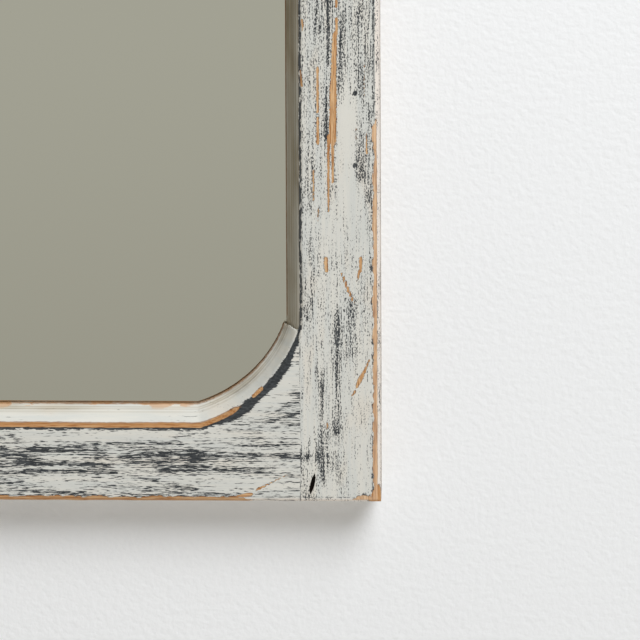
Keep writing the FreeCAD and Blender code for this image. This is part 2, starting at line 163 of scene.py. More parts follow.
# Streaks and patches of the shown corner: place and half width at the start, then at the end, and
# how strongly each shows. On the stile, places are shares of its face, from the right edge, and of
# the shown height. On the rail they are shares of the shown width, from the right edge, and of its
# face. Half widths are shares of the face. Charcoal below zero keeps the white paint whole.
STILE_BARE_SHARES = (
    (0.53, 0.98, 0.016, 0.53, 0.955, 0.012, 1.0),
    (0.53, 0.935, 0.016, 0.53, 0.905, 0.016, 1.0),
    (0.555, 0.905, 0.026, 0.575, 0.805, 0.035, 1.0),
    (0.575, 0.81, 0.04, 0.585, 0.7, 0.044, 1.0),
    (0.64, 0.71, 0.014, 0.645, 0.565, 0.011, 1.0),
    (0.585, 0.715, 0.022, 0.585, 0.62, 0.011, 1.0),
    (0.77, 0.84, 0.014, 0.765, 0.755, 0.014, 1.0),
    (0.77, 0.745, 0.014, 0.765, 0.695, 0.02, 1.0),
    (0.83, 0.645, 0.014, 0.83, 0.585, 0.013, 0.9),
    (0.765, 0.57, 0.01, 0.76, 0.54, 0.01, 0.7),
    (0.96, 0.93, 0.015, 0.94, 0.91, 0.01, 1.0),
    (0.985, 0.835, 0.01, 0.965, 0.805, 0.017, 1.0),
    (0.19, 0.85, 0.01, 0.19, 0.785, 0.01, 0.6),
    (0.18, 0.735, 0.008, 0.17, 0.675, 0.012, 0.8),
    (0.295, 0.725, 0.008, 0.29, 0.7, 0.01, 0.7),
    (0.675, 0.475, 0.02, 0.67, 0.45, 0.02, 1.0),
    (0.48, 0.445, 0.01, 0.405, 0.415, 0.017, 1.0),
    (0.405, 0.415, 0.017, 0.335, 0.39, 0.01, 1.0),
    (0.245, 0.475, 0.02, 0.25, 0.45, 0.017, 1.0),
    (0.265, 0.45, 0.012, 0.29, 0.43, 0.01, 0.9),
    (0.14, 0.28, 0.01, 0.195, 0.26, 0.014, 0.9),
    (0.195, 0.26, 0.014, 0.26, 0.24, 0.027, 1.0),
    (0.26, 0.24, 0.027, 0.3, 0.225, 0.012, 1.0),
    (0.315, 0.22, 0.012, 0.35, 0.21, 0.012, 0.9),
    (0.655, 0.16, 0.01, 0.675, 0.14, 0.01, 0.7),
    (0.05, 0.03, 0.04, 0.065, 0.005, 0.09, 1.0),
)
RAIL_BARE_SHARES = (
    (0.315, 0.17, 0.014, 0.295, 0.22, 0.01, 1.0),
    (0.295, 0.22, 0.012, 0.235, 0.375, 0.011, 0.65),
    (0.365, 0.09, 0.01, 0.33, 0.11, 0.024, 1.0),
)
STILE_COAL_SHARES = (
    (0.535, 0.375, 0.033, 0.54, 0.14, 0.048, 1.5),
    (0.725, 0.255, 0.05, 0.725, 0.045, 0.05, 1.2),
    (0.365, 0.39, 0.06, 0.365, 0.29, 0.06, 1.2),
    (0.915, 0.09, 0.05, 0.79, 0.09, 0.055, 1.2),
    (0.625, 0.14, 0.105, 0.605, 0.085, 0.125, 0.6),
    (0.24, 0.71, 0.055, 0.22, 0.635, 0.07, 0.9),
    (0.135, 0.77, 0.02, 0.135, 0.585, 0.027, 0.9),
    (0.255, 0.845, 0.02, 0.25, 0.785, 0.02, 0.8),
    (0.875, 0.805, 0.085, 0.875, 0.57, 0.085, 0.55),
    (0.69, 0.805, 0.04, 0.69, 0.71, 0.04, 0.6),
    (0.54, 0.975, 0.415, 0.54, 0.875, 0.375, 0.6),
    (0.25, 0.975, 0.105, 0.27, 0.785, 0.105, 0.35),
    (0.78, 0.975, 0.01, 0.78, 0.9, 0.01, 2.4),
    (0.73, 0.975, 0.01, 0.73, 0.91, 0.01, 2.0),
    (0.635, 0.975, 0.012, 0.635, 0.845, 0.01, 2.4),
    (0.49, 0.91, 0.01, 0.495, 0.77, 0.01, 2.6),
    (0.655, 0.805, 0.01, 0.655, 0.695, 0.01, 2.4),
    (0.855, 0.54, 0.075, 0.865, 0.36, 0.075, 0.4),
    (0.08, 0.975, 0.01, 0.08, 0.745, 0.01, 2.6),
    (0.31, 0.794, 0.012, 0.31, 0.79, 0.012, 7.0),
    (0.32, 0.655, 0.012, 0.32, 0.652, 0.012, 6.0),
    (0.405, 0.75, 0.095, 0.405, 0.59, 0.105, -0.7),
    (0.29, 0.225, 0.155, 0.27, 0.04, 0.19, -0.6),
    (0.88, 0.295, 0.05, 0.88, 0.155, 0.05, -0.4),
    (0.5, 0.57, 0.105, 0.5, 0.495, 0.105, -0.4),
)
RAIL_COAL_SHARES = (
    (0.505, 0.775, 0.012, 0.77, 0.76, 0.01, 1.0),
    (0.455, 0.745, 0.044, 0.205, 0.765, 0.032, 0.7),
    (0.68, 0.48, 0.024, 0.915, 0.505, 0.026, 1.8),
    (0.67, 0.395, 0.018, 0.9, 0.405, 0.018, 1.7),
    (0.475, 0.585, 0.12, 0.64, 0.625, 0.08, 1.3),
    (0.475, 0.59, 0.052, 0.32, 0.6, 0.04, 1.3),
    (0.32, 0.6, 0.04, 0.245, 0.605, 0.032, 0.6),
    (0.245, 0.6, 0.048, 0.195, 0.6, 0.044, 1.2),
    (0.555, 0.425, 0.048, 0.275, 0.435, 0.032, 1.0),
    (0.38, 0.175, 0.012, 0.325, 0.17, 0.012, 1.6),
    (0.445, 0.105, 0.012, 0.355, 0.105, 0.012, 1.2),
    (0.64, 0.355, 0.014, 0.47, 0.16, 0.022, 1.6),
    (0.895, 0.585, 0.18, 0.97, 0.565, 0.26, 1.1),
    (0.7, 0.645, 0.052, 0.87, 0.705, 0.052, 1.2),
    (0.405, 0.115, 0.044, 0.915, 0.125, 0.052, 0.4),
    (0.29, 1.045, 0.016, 0.205, 1.185, 0.044, 0.95),
    (0.235, 1.265, 0.028, 0.205, 1.415, 0.04, 0.95),
    (0.265, 0.985, 0.018, 0.21, 1.035, 0.02, 0.9),
    (0.415, 1.005, 0.008, 0.315, 1.015, 0.008, 0.9),
    (0.3, 1.035, 0.014, 0.28, 1.085, 0.014, 1.0),
    (0.265, 0.265, 0.1, 0.425, 0.285, 0.08, -0.5),
    (0.53, 0.855, 0.036, 0.915, 0.855, 0.036, -0.8),
    (0.225, 1.865, 0.05, 0.255, 1.545, 0.1, -1.0),
    (0.255, 1.545, 0.1, 0.325, 1.225, 0.08, -0.9),
    (0.265, 0.885, 0.05, 0.425, 0.895, 0.05, -0.7),
)

# Arcs along the curve of the shown ear: first and last angle below level, then, as shares of the
# bevel's run, distance outside the curve and half widths, and how strongly each shows
BARE_ARC_SHARES = (
    (43.5, 48.0, -0.05, 0.11, 0.1, 1.0),
)
COAL_ARC_SHARES = (
    (14.0, 20.0, 0.05, 0.06, 0.08, 5.0),
    (20.0, 26.0, 0.1, 0.08, 0.12, 6.0),
    (26.0, 30.0, 0.16, 0.13, 0.21, 6.5),
    (30.0, 39.0, 0.22, 0.21, 0.24, 7.0),
    (39.0, 44.0, 0.21, 0.23, 0.15, 7.0),
    (44.0, 51.0, 0.19, 0.15, 0.22, 7.0),
    (51.0, 58.0, 0.24, 0.22, 0.26, 7.0),
    (58.0, 64.0, 0.23, 0.22, 0.13, 6.0),
    (64.0, 71.0, 0.17, 0.12, 0.06, 5.0),
)
ARC_PIECES = 6


def arc_strokes(first, last, outside, first_half, last_half, weight):
    """Short strokes that follow the curve of the shown ear."""
    radius = EAR_RADIUS + outside * BEVEL_RUN
    angles = np.radians(np.linspace(first, last, ARC_PIECES + 1))
    halves = np.linspace(first_half, last_half, ARC_PIECES + 1) * BEVEL_RUN
    low = MIDDLE_Z - EAR_Z
    spots = [(EAR_X + radius * math.cos(turn), low - radius * math.sin(turn)) for turn in angles]
    pairs = zip(spots, spots[1:], halves, halves[1:])
    return [Stroke(*pair, weight) for pair in pairs]


def drawn_strokes(stile_shares, rail_shares, arc_shares):
    """All listed marks of one kind, each a list of strokes."""
    marks = [[shown_stroke(row, STILE_FACE, CORNER_HEIGHT, STILE_FACE)] for row in stile_shares]
    marks += [[shown_stroke(row, CORNER_WIDTH, RAIL_FACE, RAIL_FACE)] for row in rail_shares]
    return marks + [arc_strokes(*row) for row in arc_shares]


# Wear by seeded chance, for all that the photograph doesn't show

CHANCE_SEED = 17
BARE_PER_METRE = 34
COAL_PER_METRE = 60
BARE_LENGTHS = (0.01, 0.075)
BARE_HALVES = (0.0005, 0.0015)
COAL_LENGTHS = (0.018, 0.11)
COAL_HALVES = (0.0012, 0.0055)
COAL_WEIGHTS = (-1.0, 1.2)
LEAN_SHARES = (-0.02, 0.02)
TAPER_SHARES = (0.4, 1.0)


def chance_strokes(node, rng):
    """Seeded streaks along the grain of one member: bare wood first, then charcoal."""
    low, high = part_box(node)
    upright = node.endswith("stile")
    length = high.z - low.z if upright else high.x - low.x

    def one(lengths, halves, weight):
        reach = rng.uniform(*lengths)
        half = rng.uniform(*halves)
        x = rng.uniform(low.x, high.x)
        z = rng.uniform(low.z, high.z)
        lean = rng.uniform(*LEAN_SHARES) * reach
        end = (x + lean, z + reach) if upright else (x + reach, z + lean)
        return Stroke((x, z), end, half, half * rng.uniform(*TAPER_SHARES), weight)

    bare = [one(BARE_LENGTHS, BARE_HALVES, 1) for _ in range(int(BARE_PER_METRE * length))]
    count = int(COAL_PER_METRE * length)
    coal = [one(COAL_LENGTHS, COAL_HALVES, rng.uniform(*COAL_WEIGHTS)) for _ in range(count)]
    return bare, coal


# Fields that the paint follows

COAL_RANGE = (-2.5, 8.0)


def stroke_shape(points, stroke):
    """How much of the stroke lies at each point: 1 on its middle line, half at its edge."""
    start = np.array(stroke.start)
    run = np.array(stroke.end) - start
    flat = points[:, (0, 2)] - start
    share = np.clip(flat @ run / (run @ run), 0, 1)
    distance = np.linalg.norm(flat - share[:, None] * run, axis=1)
    half = stroke.start_half + (stroke.end_half - stroke.start_half) * share
    return np.exp(-math.log(2) * (distance / half) ** 2)


def mark_shape(points, strokes):
    """How strongly a mark of several strokes shows at each point."""
    return np.max([stroke.weight * stroke_shape(points, stroke) for stroke in strokes], axis=0)


def wear_fields(points, node, rng):
    """How bare the wood is at each point, and how much charcoal shows."""
    bare_strokes, coal_strokes = chance_strokes(node, rng)
    hidden = ~in_corner(points)
    bare = np.zeros(len(points))
    coal = np.zeros(len(points))
    for stroke in bare_strokes:
        bare = np.maximum(bare, hidden * stroke_shape(points, stroke))
    for stroke in coal_strokes:
        coal += hidden * stroke.weight * stroke_shape(points, stroke)
    for mark in drawn_strokes(STILE_BARE_SHARES, RAIL_BARE_SHARES, BARE_ARC_SHARES):
        bare = np.maximum(bare, mark_shape(points, mark))
    for mark in drawn_strokes(STILE_COAL_SHARES, RAIL_COAL_SHARES, COAL_ARC_SHARES):
        coal += mark_shape(points, mark)
    return bare, np.clip(coal, *COAL_RANGE)


# Wear along the edges. On the shown corner: where the bare inner arris of the rail ends, left of the
# corner; how high the right edge is bare; and where the lower edge keeps its paint, left of the corner
INNER_BARE_END = 0.083
OUTER_BARE_TOP = 0.249
LOWER_PAINT_RIGHT = 0.017
LOWER_PAINT_LEFT = 0.077
EDGE_FADE = 0.01
PAINTED_EDGE_SHARE = 0.12
INNER_CELL = 0.06
OUTER_CELL = 0.09
INNER_SEED = 31
OUTER_SEED = 32
RAIL_INNER_SPAN = (0.35, 0.77)
STILE_INNER_SPAN = (0.75, 1.0)
OUTER_SPAN = (0.25, 0.63)


def fade(value, end):
    """1 well below the end, 0 well above it."""
    half = EDGE_FADE / 2
    return ramp(end - value, -half, half)


def edge_fields(points, node):
    """How worn the inner and the outer arris are at each point, from 0 to 1."""
    rail = node.endswith("rail")
    inner_span = RAIL_INNER_SPAN if rail else STILE_INNER_SPAN
    inner = ramp(value_noise(points, INNER_CELL, INNER_SEED), *inner_span)
    outer = ramp(value_noise(points, OUTER_CELL, OUTER_SEED), *OUTER_SPAN)
    shown = in_corner(points)
    left = RIGHT_X - points[:, 0]
    up = points[:, 2] - BOTTOM_Z
    shown_inner = fade(-left, -INNER_BARE_END) if rail else np.zeros(len(points))
    lower_paint = fade(left, LOWER_PAINT_LEFT) * fade(-left, -LOWER_PAINT_RIGHT)
    shown_outer = np.where(left < up, fade(up, OUTER_BARE_TOP), 1 - lower_paint)
    shown_outer = np.maximum(shown_outer, PAINTED_EDGE_SHARE)
    return np.where(shown, shown_inner, inner), np.where(shown, shown_outer, outer)


# The pitch pocket in the shown corner: place left of the corner and up, sizes and lean

POCKET_LEFT = 0.0409
POCKET_UP = 0.0122
POCKET_LENGTH = 0.0146
POCKET_WIDTH = 0.0025
POCKET_DEPTH = 0.005
POCKET_LEAN = math.radians(11)
POCKET_STEPS = 10
POCKET_NEAR = 0.0022
POCKET_NODE = "right_stile"


def pocket_outline():
    """Corners of the pocket's lens shape on the face, around it once."""
    shares = [2 * step / POCKET_STEPS - 1 for step in range(POCKET_STEPS)]
    there = [(share, 1 - share * share) for share in shares]
    back = [(-share, share * share - 1) for share in shares]
    lean = (math.sin(POCKET_LEAN), math.cos(POCKET_LEAN))
    spots = []
    for along_share, side_share in there + back:
        along = along_share * POCKET_LENGTH / 2
        side = side_share * POCKET_WIDTH / 2
        x = RIGHT_X - POCKET_LEFT + along * lean[0] + side * lean[1]
        z = BOTTOM_Z + POCKET_UP + along * lean[1] - side * lean[0]
        spots.append((x, z))
    return spots


def pocket_cutter():
    """A closed lens-shaped plug that cuts the pocket."""
    outline = pocket_outline()
    count = len(outline)
    spots = [(x, FRONT_Y - POCKET_DEPTH, z) for x, z in outline]
    spots += [(x, FRONT_Y + POCKET_DEPTH, z) for x, z in outline]
    sides = [(k, count + k, count + (k + 1) % count, (k + 1) % count) for k in range(count)]
    ends = [tuple(range(count)), tuple(range(2 * count - 1, count - 1, -1))]
    mesh = bpy.data.meshes.new("pocket_cutter")
    mesh.from_pydata(spots, [], sides + ends)
    return add_object("pocket_cutter", mesh)


def pocket_field(points):
    """1 around the pitch pocket, 0 elsewhere."""
    lean = Vector((math.sin(POCKET_LEAN), math.cos(POCKET_LEAN))) * POCKET_LENGTH / 2
    middle = Vector((RIGHT_X - POCKET_LEFT, BOTTOM_Z + POCKET_UP))
    stroke = Stroke(tuple(middle - lean), tuple(middle + lean), POCKET_NEAR, POCKET_NEAR, 1)
    return (stroke_shape(points, stroke) > 1 / 2).astype(float)


# Frame members

VOXEL = 0.00125
GRAIN_RELIEF = 0.0001
GRAIN_ACROSS = 0.0024
GRAIN_ALONG = 0.05
GRAIN_SEED = 41
WAVE_RELIEF = 0.00018
WAVE_CELL = 0.045
WAVE_SEED = 42
WEAR_RELIEF = 0.0009
WEAR_REACH = 0.0024
WEAR_CELL = 0.011
WEAR_SEED = 43
SEAM_REACH = 0.003
SEAM_TUCK = 0.0012
SEAM_DEPTH = 0.004


def dense_copy(node):
    """A new object with the node's shape as an even mesh of small faces."""
    piece = add_object(f"worn_{node}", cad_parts[node].data.copy())
    remesh = piece.modifiers.new("even_faces", "REMESH")
    remesh.mode = "VOXEL"
    remesh.voxel_size = VOXEL
    cutter = None
    if node == POCKET_NODE:
        cutter = pocket_cutter()
        cut = piece.modifiers.new("pocket", "BOOLEAN")
        cut.operation = "DIFFERENCE"
        cut.solver = "EXACT"
        cut.object = cutter
    depsgraph = bpy.context.evaluated_depsgraph_get()
    mesh = bpy.data.meshes.new_from_object(piece.evaluated_get(depsgraph))
    piece.modifiers.clear()
    if cutter:
        bpy.data.objects.remove(cutter)
    piece.data = mesh
    mesh.name = piece.name
    mesh.shade_smooth()
    return piece


def vector_rows(items, name):
    """The named vector of each item, one row each."""
    values = np.zeros(len(items) * 3, np.float32)
    items.foreach_get(name, values)
    return values.reshape(-1, 3).astype(float)


def tuck_seam(points, node):
    """Slides rail and stile a little into each other, so that the joint stays fine."""
    slide = SEAM_TUCK * ramp(np.abs(np.abs(points[:, 0]) - OPENING_X), SEAM_REACH, 0)
    if node.endswith("stile"):
        upright = np.abs(points[:, 2] - MIDDLE_Z) - EAR_TIP
        past_tip = ramp(upright, SEAM_REACH, 2 * SEAM_REACH)
        slide *= -past_tip * ramp(points[:, 1] - FRONT_Y, SEAM_DEPTH, 0)
    tucked = points.copy()
    tucked[:, 0] += np.sign(points[:, 0]) * slide
    return tucked


def wear_down(points, normals, node):
    """Points pressed in along their normals: grain, waves of hand planing and rubbed edges."""
    grain_cell = (GRAIN_ALONG, GRAIN_ACROSS, GRAIN_ACROSS)
    if node.endswith("stile"):
        grain_cell = tuple(reversed(grain_cell))
    grain = GRAIN_RELIEF * value_noise(points, grain_cell, GRAIN_SEED)
    wave = WAVE_RELIEF * value_noise(points, WAVE_CELL, WAVE_SEED)
    depth = points[:, 1] - FRONT_Y
    inner = np.hypot(opening_gap(points), depth)
    outer = np.hypot(outer_gap(points), depth)
    near = np.exp(-((inner / WEAR_REACH) ** 2)) + np.exp(-((outer / WEAR_REACH) ** 2))
    rub = WEAR_RELIEF * near * value_noise(points, WEAR_CELL, WEAR_SEED)
    return points - normals * (grain + wave + rub)[:, None]


def add_field(mesh, name, values):
    """Stores one number for each vertex, for the material to read."""
    field = mesh.attributes.new(name, "FLOAT", "POINT")
    field.data.foreach_set("value", np.asarray(values, np.float32))


def worn_member(node, rng):
    """One stile or rail within the frame's box, with worn edges and fields for its paint."""
    piece = dense_copy(node)
    mesh = piece.data
    points = vector_rows(mesh.vertices, "co")
    fields = {"opening_gap": opening_gap(points), "outer_gap": outer_gap(points)}
    fields["bare"], fields["coal"] = wear_fields(points, node, rng)
    fields["inner_wear"], fields["outer_wear"] = edge_fields(points, node)
    fields["pocket"] = pocket_field(points) if node == POCKET_NODE else np.zeros(len(points))
    for name, values in fields.items():
        add_field(mesh, name, values)
    moved = tuck_seam(wear_down(points, vector_rows(mesh.vertex_normals, "vector"), node), node)
    kept = np.clip(moved, LEFT_LOW, RIGHT_HIGH)
    mesh.vertices.foreach_set("co", kept.astype(np.float32).ravel())
    mesh.update()
    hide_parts(node)
    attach(piece, "frame")
    return piece


# Shader nodes

SCREEN_MOST = 255


def colour(*screen_values):
    """A linear colour from 8 bit screen values of red, green and blue."""
    screen_colour = Color([value / SCREEN_MOST for value in screen_values])
    return (*screen_colour.from_srgb_to_scene_linear(), 1.0)


class Graph:
    """Adds nodes to a material; every value may be a number or the output of another node."""

    def __init__(self, name):
        self.material = bpy.data.materials.new(name)
        self.material.use_nodes = True
        self.tree = self.material.node_tree
        self.tree.nodes.clear()
        self.output = self.node("OutputMaterial")

    def put(self, socket, value):
        """Links a socket, or sets it."""
        if isinstance(value, bpy.types.NodeSocket):
            self.tree.links.new(value, socket)
        else:
            socket.default_value = value

    def node(self, kind, **values):
        """A new node with these inputs, named with _ for each space."""
        node = self.tree.nodes.new(f"ShaderNode{kind}")
        for name, value in values.items():
            self.put(node.inputs[name.replace("_", " ")], value)
        return node

    def place(self):
        """Position on the object, in metres."""
        return self.node("TexCoord").outputs["Object"]

    def field(self, name):
        """A number stored on the vertices."""
        node = self.node("Attribute")
        node.attribute_name = name
        return node.outputs["Fac"]

    def math(self, operation, *values):
        """One sum."""
        node = self.node("Math")
        node.operation = operation
        for socket, value in zip(node.inputs, values):
            self.put(socket, value)
        return node.outputs[0]

    def total(self, *terms):
        """The sum of values, or of pairs of a value and its weight."""
        result = 0.0
        for term in terms:
            value, weight = term if isinstance(term, tuple) else (term, 1.0)
            result = self.math("MULTIPLY_ADD", value, weight, result)
        return result

    def product(self, *values):
        """All values multiplied."""
        return reduce(partial(self.math, "MULTIPLY"), values)

    def most(self, *values):
        """The largest of several values."""
        return reduce(partial(self.math, "MAXIMUM"), values)

    def length(self, first, second):
        """The length of a vector with these two parts."""
        square = self.product(second, second)
        return self.math("SQRT", self.math("MULTIPLY_ADD", first, first, square))

    def split(self, vector):
        """The three parts of a vector."""
        return self.node("SeparateXYZ", Vector=vector).outputs

    def join(self, x, y, z):
        """A vector from three parts."""
        return self.node("CombineXYZ", X=x, Y=y, Z=z).outputs[0]

    def noise(self, vector, grit):
        """Noise around one half. A grit holds cell sizes across the grain, through the board and along
        the grain, then detail, roughness and shift."""
        *cells, detail, roughness, shift = grit
        scale = [1 / cell for cell in cells]
        scaled = self.node("Mapping", Vector=vector, Scale=scale, Location=[shift] * len(cells)).outputs[0]
        node = self.node("TexNoise", Vector=scaled, Scale=1.0, Detail=detail, Roughness=roughness)
        return node.outputs["Fac"]

    def swing(self, vector, grit):
        """Noise around zero."""
        return self.math("SUBTRACT", self.noise(vector, grit), 1 / 2)

    def step(self, value, low, high):
        """0 at low, 1 at high, smooth between."""
        node = self.node("MapRange", Value=value, From_Min=low, From_Max=high)
        node.interpolation_type = "SMOOTHSTEP"
        return node.outputs[0]

    def blend(self, share, first, second):
        """From the first colour at 0 to the second at 1."""
        node = self.node("Mix", Factor=share)
        node.data_type = "RGBA"
        colours = [socket for socket in node.inputs if socket.type == "RGBA"]
        self.put(colours[0], first)
        self.put(colours[1], second)
        return next(socket for socket in node.outputs if socket.type == "RGBA")

    def bump(self, height, distance):
        """A normal for a surface with this relief."""
        return self.node("Bump", Height=height, Distance=distance).outputs[0]

    def surface(self, shader):
        """Ends the material in this shader."""
        self.put(self.output.inputs["Surface"], shader.outputs[0])
        return self.material

    def finish(self, **inputs):
        """Ends in a Principled surface with these inputs."""
        return self.surface(self.node("BsdfPrincipled", **inputs))


# Bare pine

PINE = colour(206, 156, 106)
PINE_DEEP = colour(164, 108, 60)
PINE_PALE = colour(222, 182, 136)
BAND_GRIT = (0.0018, 0.005, 0.12, 3.0, 0.55, 0.0)
BAND_SPAN = (0.4, 0.6)
FIBRE_GRIT = (0.0005, 0.0005, 0.012, 2.0, 0.6, 3.0)
FIBRE_SPAN = (0.46, 0.64)


def pine_colour(graph, grain):
    """Bands of early and late wood along the grain."""
    bands = graph.step(graph.noise(grain, BAND_GRIT), *BAND_SPAN)
    fibre = graph.step(graph.noise(grain, FIBRE_GRIT), *FIBRE_SPAN)
    return graph.blend(fibre, graph.blend(bands, PINE_PALE, PINE), PINE_DEEP)


# Painted wood: white paint brushed thinly over charcoal on pine, rubbed through along the edges


class StileBrushwork:
    """How the stiles were painted."""

    upright = True
    flecks = (0.00052, 0.00052, 0.0014, 2.0, 0.6, 0.0)
    lines = (0.0007, 0.004, 0.018, 1.0, 0.5, 5.0)
    missed_limit = 0.564
    tone_share = 0.4
    stain_share = 0.75
    stain_span = (0.0, -0.001)
    rub_reach = 0.002
    edge_start = 0.0021
    edge_bare = 0.0045
    # Pale over the bare outer arris: painted highlight for the sides that the light falls on
    edge_light_and_shade = colour(240, 226, 208)
    edge_light_and_shade_share = 0.18


class RailBrushwork:
    """How the rails were painted."""

    upright = False
    flecks = (0.00055, 0.00055, 0.0046, 2.0, 0.6, 0.0)
    lines = (0.0008, 0.004, 0.03, 1.0, 0.5, 5.0)
    missed_limit = 0.548
    tone_share = 0.0
    stain_share = 0.55
    stain_span = (-0.0035, -0.0065)
    rub_reach = 0.0048
    edge_start = 0.0
    edge_bare = 0.0038
    # Brown over the bare outer arris: painted shade for an edge that rounds away from the light
    edge_light_and_shade = colour(138, 92, 50)
    edge_light_and_shade_share = 0.25


EDGE_GRIT = (0.0012, 0.0012, 0.005, 3.0, 0.6, 2.0)
CHEW_GRIT = (0.01, 0.01, 0.014, 2.0, 0.5, 27.0)
PATCH_GRIT = (0.012, 0.03, 0.04, 2.0, 0.5, 9.0)
BEVEL_SPAN = (0.0, -0.001)
FRONT_SPAN = (0.004, 0.003)
SOFT = 0.0002


def spot_on(graph, brushwork):
    """The values that all layers of paint share."""
    x, y, z = graph.split(graph.place())
    grain = graph.join(x, y, z) if brushwork.upright else graph.join(z, y, x)
    gap_in = graph.field("opening_gap")
    return SimpleNamespace(
        grain=grain,
        across=graph.math("ABSOLUTE", x),
        upright=graph.math("ABSOLUTE", graph.math("SUBTRACT", z, MIDDLE_Z)),
        depth=graph.math("SUBTRACT", y, FRONT_Y),
        gap_in=gap_in,
        gap_out=graph.field("outer_gap"),
        ragged=graph.swing(grain, EDGE_GRIT),
        chew=graph.swing(grain, CHEW_GRIT),
        flecks=graph.noise(grain, brushwork.flecks),
        patches=graph.noise(grain, PATCH_GRIT),
        on_bevel=graph.step(gap_in, *BEVEL_SPAN),
    )


def inside(graph, reach):
    """1 where the reach is above zero, with a soft edge."""
    return graph.step(reach, -SOFT, SOFT)


def on_front(graph, spot):
    """1 on the front of a member, 0 deeper in."""
    return graph.step(spot.depth, *FRONT_SPAN)


# The arris of the opening: a rubbed band of bare wood, with charcoal beside it on the face and a
# fine brown line beside it on the bevel

INNER_BARE = 0.0018
INNER_RAGGED = 0.0014
RUB_INSIDE = 0.0006
RUB_DEEP = 0.0007
BROWN_WIDTH = 0.0005
BROWN_SHARE = 0.7
RING_WIDTH = 0.0016
RING_RAGGED = 0.004
RING_SPAN = (-0.0008, -0.0004)


def inner_edge(graph, spot):
    """Shares of bare wood, charcoal and brown along the arris of the opening."""
    gap = graph.math("ADD", spot.gap_in, RUB_INSIDE)
    deep = graph.math("SUBTRACT", spot.depth, RUB_DEEP)
    wear = (graph.field("inner_wear"), INNER_BARE)
    bare = graph.total(wear, (graph.length(gap, deep), -1.0), (spot.ragged, INNER_RAGGED))
    ring = graph.total(bare, (spot.ragged, RING_RAGGED), RING_WIDTH)
    brown = graph.total(bare, BROWN_WIDTH)
    on_face = graph.step(spot.gap_in, *RING_SPAN)
    ring_share = graph.product(inside(graph, ring), on_face)
    brown_share = graph.product(inside(graph, brown), spot.on_bevel, graph.field("inner_wear"), BROWN_SHARE)
    return inside(graph, bare), ring_share, brown_share


# The outer arris: chewed bare wood, with charcoal around it

OUTER_RAGGED = 0.003
OUTER_CHEW = 0.0034
OUTER_RING = 0.0002
OUTER_RING_RAGGED = 0.006
KEPT_RAGGED = 0.001


def outer_edge(graph, spot, brushwork):
    """Shares of bare wood and of charcoal along the outer arris."""
    wear = (graph.field("outer_wear"), brushwork.edge_bare)
    distance = graph.length(spot.gap_out, spot.depth)
    bare = graph.total(wear, (distance, -1.0), (spot.ragged, OUTER_RAGGED), (spot.chew, OUTER_CHEW))
    ring = graph.total(bare, (spot.ragged, OUTER_RING_RAGGED), OUTER_RING)
    from_edge = graph.total(spot.gap_out, (spot.ragged, KEPT_RAGGED), -brushwork.edge_start)
    off_edge = inside(graph, from_edge)
    return graph.product(inside(graph, bare), off_edge), graph.product(inside(graph, ring), off_edge)


# Where the outer arris keeps its paint, a fine broken line of charcoal runs along it

EDGE_LINE_IN = 0.0037
EDGE_LINE_WIDTH = 0.0006
EDGE_LINE_SPAN = (-0.1, 0.06)


def edge_line(graph, spot):
    """Share of charcoal in the line."""
    beside = graph.math("ABSOLUTE", graph.math("SUBTRACT", spot.gap_out, EDGE_LINE_IN))
    kept = graph.math("SUBTRACT", 1.0, graph.field("outer_wear"))
    broken = graph.step(spot.ragged, *EDGE_LINE_SPAN)
    return graph.product(graph.step(beside, EDGE_LINE_WIDTH, 0.0), kept, broken, on_front(graph, spot))


# Bare streaks on the face, drawn and by chance, with broken charcoal around them

STREAK_RAGGED_SHARE = 0.9
STREAK_SPAN = (0.46, 0.56)
STREAK_RING_SPAN = (0.32, 0.46)
STREAK_BREAK_SPAN = (-0.12, 0.06)


def face_streaks(graph, spot):
    """Shares of bare wood and of charcoal in the streaks."""
    ragged = graph.math("SUBTRACT", spot.flecks, 1 / 2)
    streak = graph.total(graph.field("bare"), (ragged, STREAK_RAGGED_SHARE))
    front = on_front(graph, spot)
    broken = graph.step(spot.ragged, *STREAK_BREAK_SPAN)
    bare = graph.product(graph.step(streak, *STREAK_SPAN), front)
    return bare, graph.product(graph.step(streak, *STREAK_RING_SPAN), broken, front)


# The joint between rail and stile: a fine dark line from the tip of the ear outwards, with breaks

JOINT_WIDTH = 0.0005
JOINT_GRIT = (0.01, 0.01, 0.01, 2.0, 0.5, 33.0)
JOINT_SPAN = (0.46, 0.64)


def joint_line(graph, spot):
    """Share of dark along the joint."""
    beside = graph.math("ABSOLUTE", graph.math("SUBTRACT", spot.across, OPENING_X))
    near = graph.step(beside, JOINT_WIDTH, 0.0)
    breaks = graph.step(graph.noise(spot.grain, JOINT_GRIT), *JOINT_SPAN)
    past_tip = graph.step(spot.upright, EAR_TIP - SOFT, EAR_TIP + SOFT)
    return graph.product(near, breaks, past_tip, on_front(graph, spot))


# Charcoal that the dry white brush missed

COLUMN_GRIT = (0.0028, 0.008, 0.06, 2.0, 0.5, 7.0)
FLECK_SHARE = 0.5
LINE_SHARE = 0.26
COLUMN_SHARE = 0.13
PATCH_SHARE = 0.11
COAL_SHARE = 0.062
BEVEL_COVER_SHARE = 0.1
MISSED_SPAN = (-0.02, 0.025)
VEIL_SPAN = (-0.09, 0.0)
VEIL_SHARE = 0.08


def dry_brush(graph, spot, brushwork):
    """Share of charcoal that shows through the white paint."""
    brush = graph.total(
        (spot.flecks, FLECK_SHARE),
        (graph.noise(spot.grain, brushwork.lines), LINE_SHARE),
        (graph.noise(spot.grain, COLUMN_GRIT), COLUMN_SHARE),
        (spot.patches, PATCH_SHARE),
        (graph.field("coal"), COAL_SHARE),
        (spot.on_bevel, -BEVEL_COVER_SHARE),
        -brushwork.missed_limit,
    )
    veil = graph.product(graph.step(brush, *VEIL_SPAN), VEIL_SHARE)
    return graph.most(graph.step(brush, *MISSED_SPAN), veil)
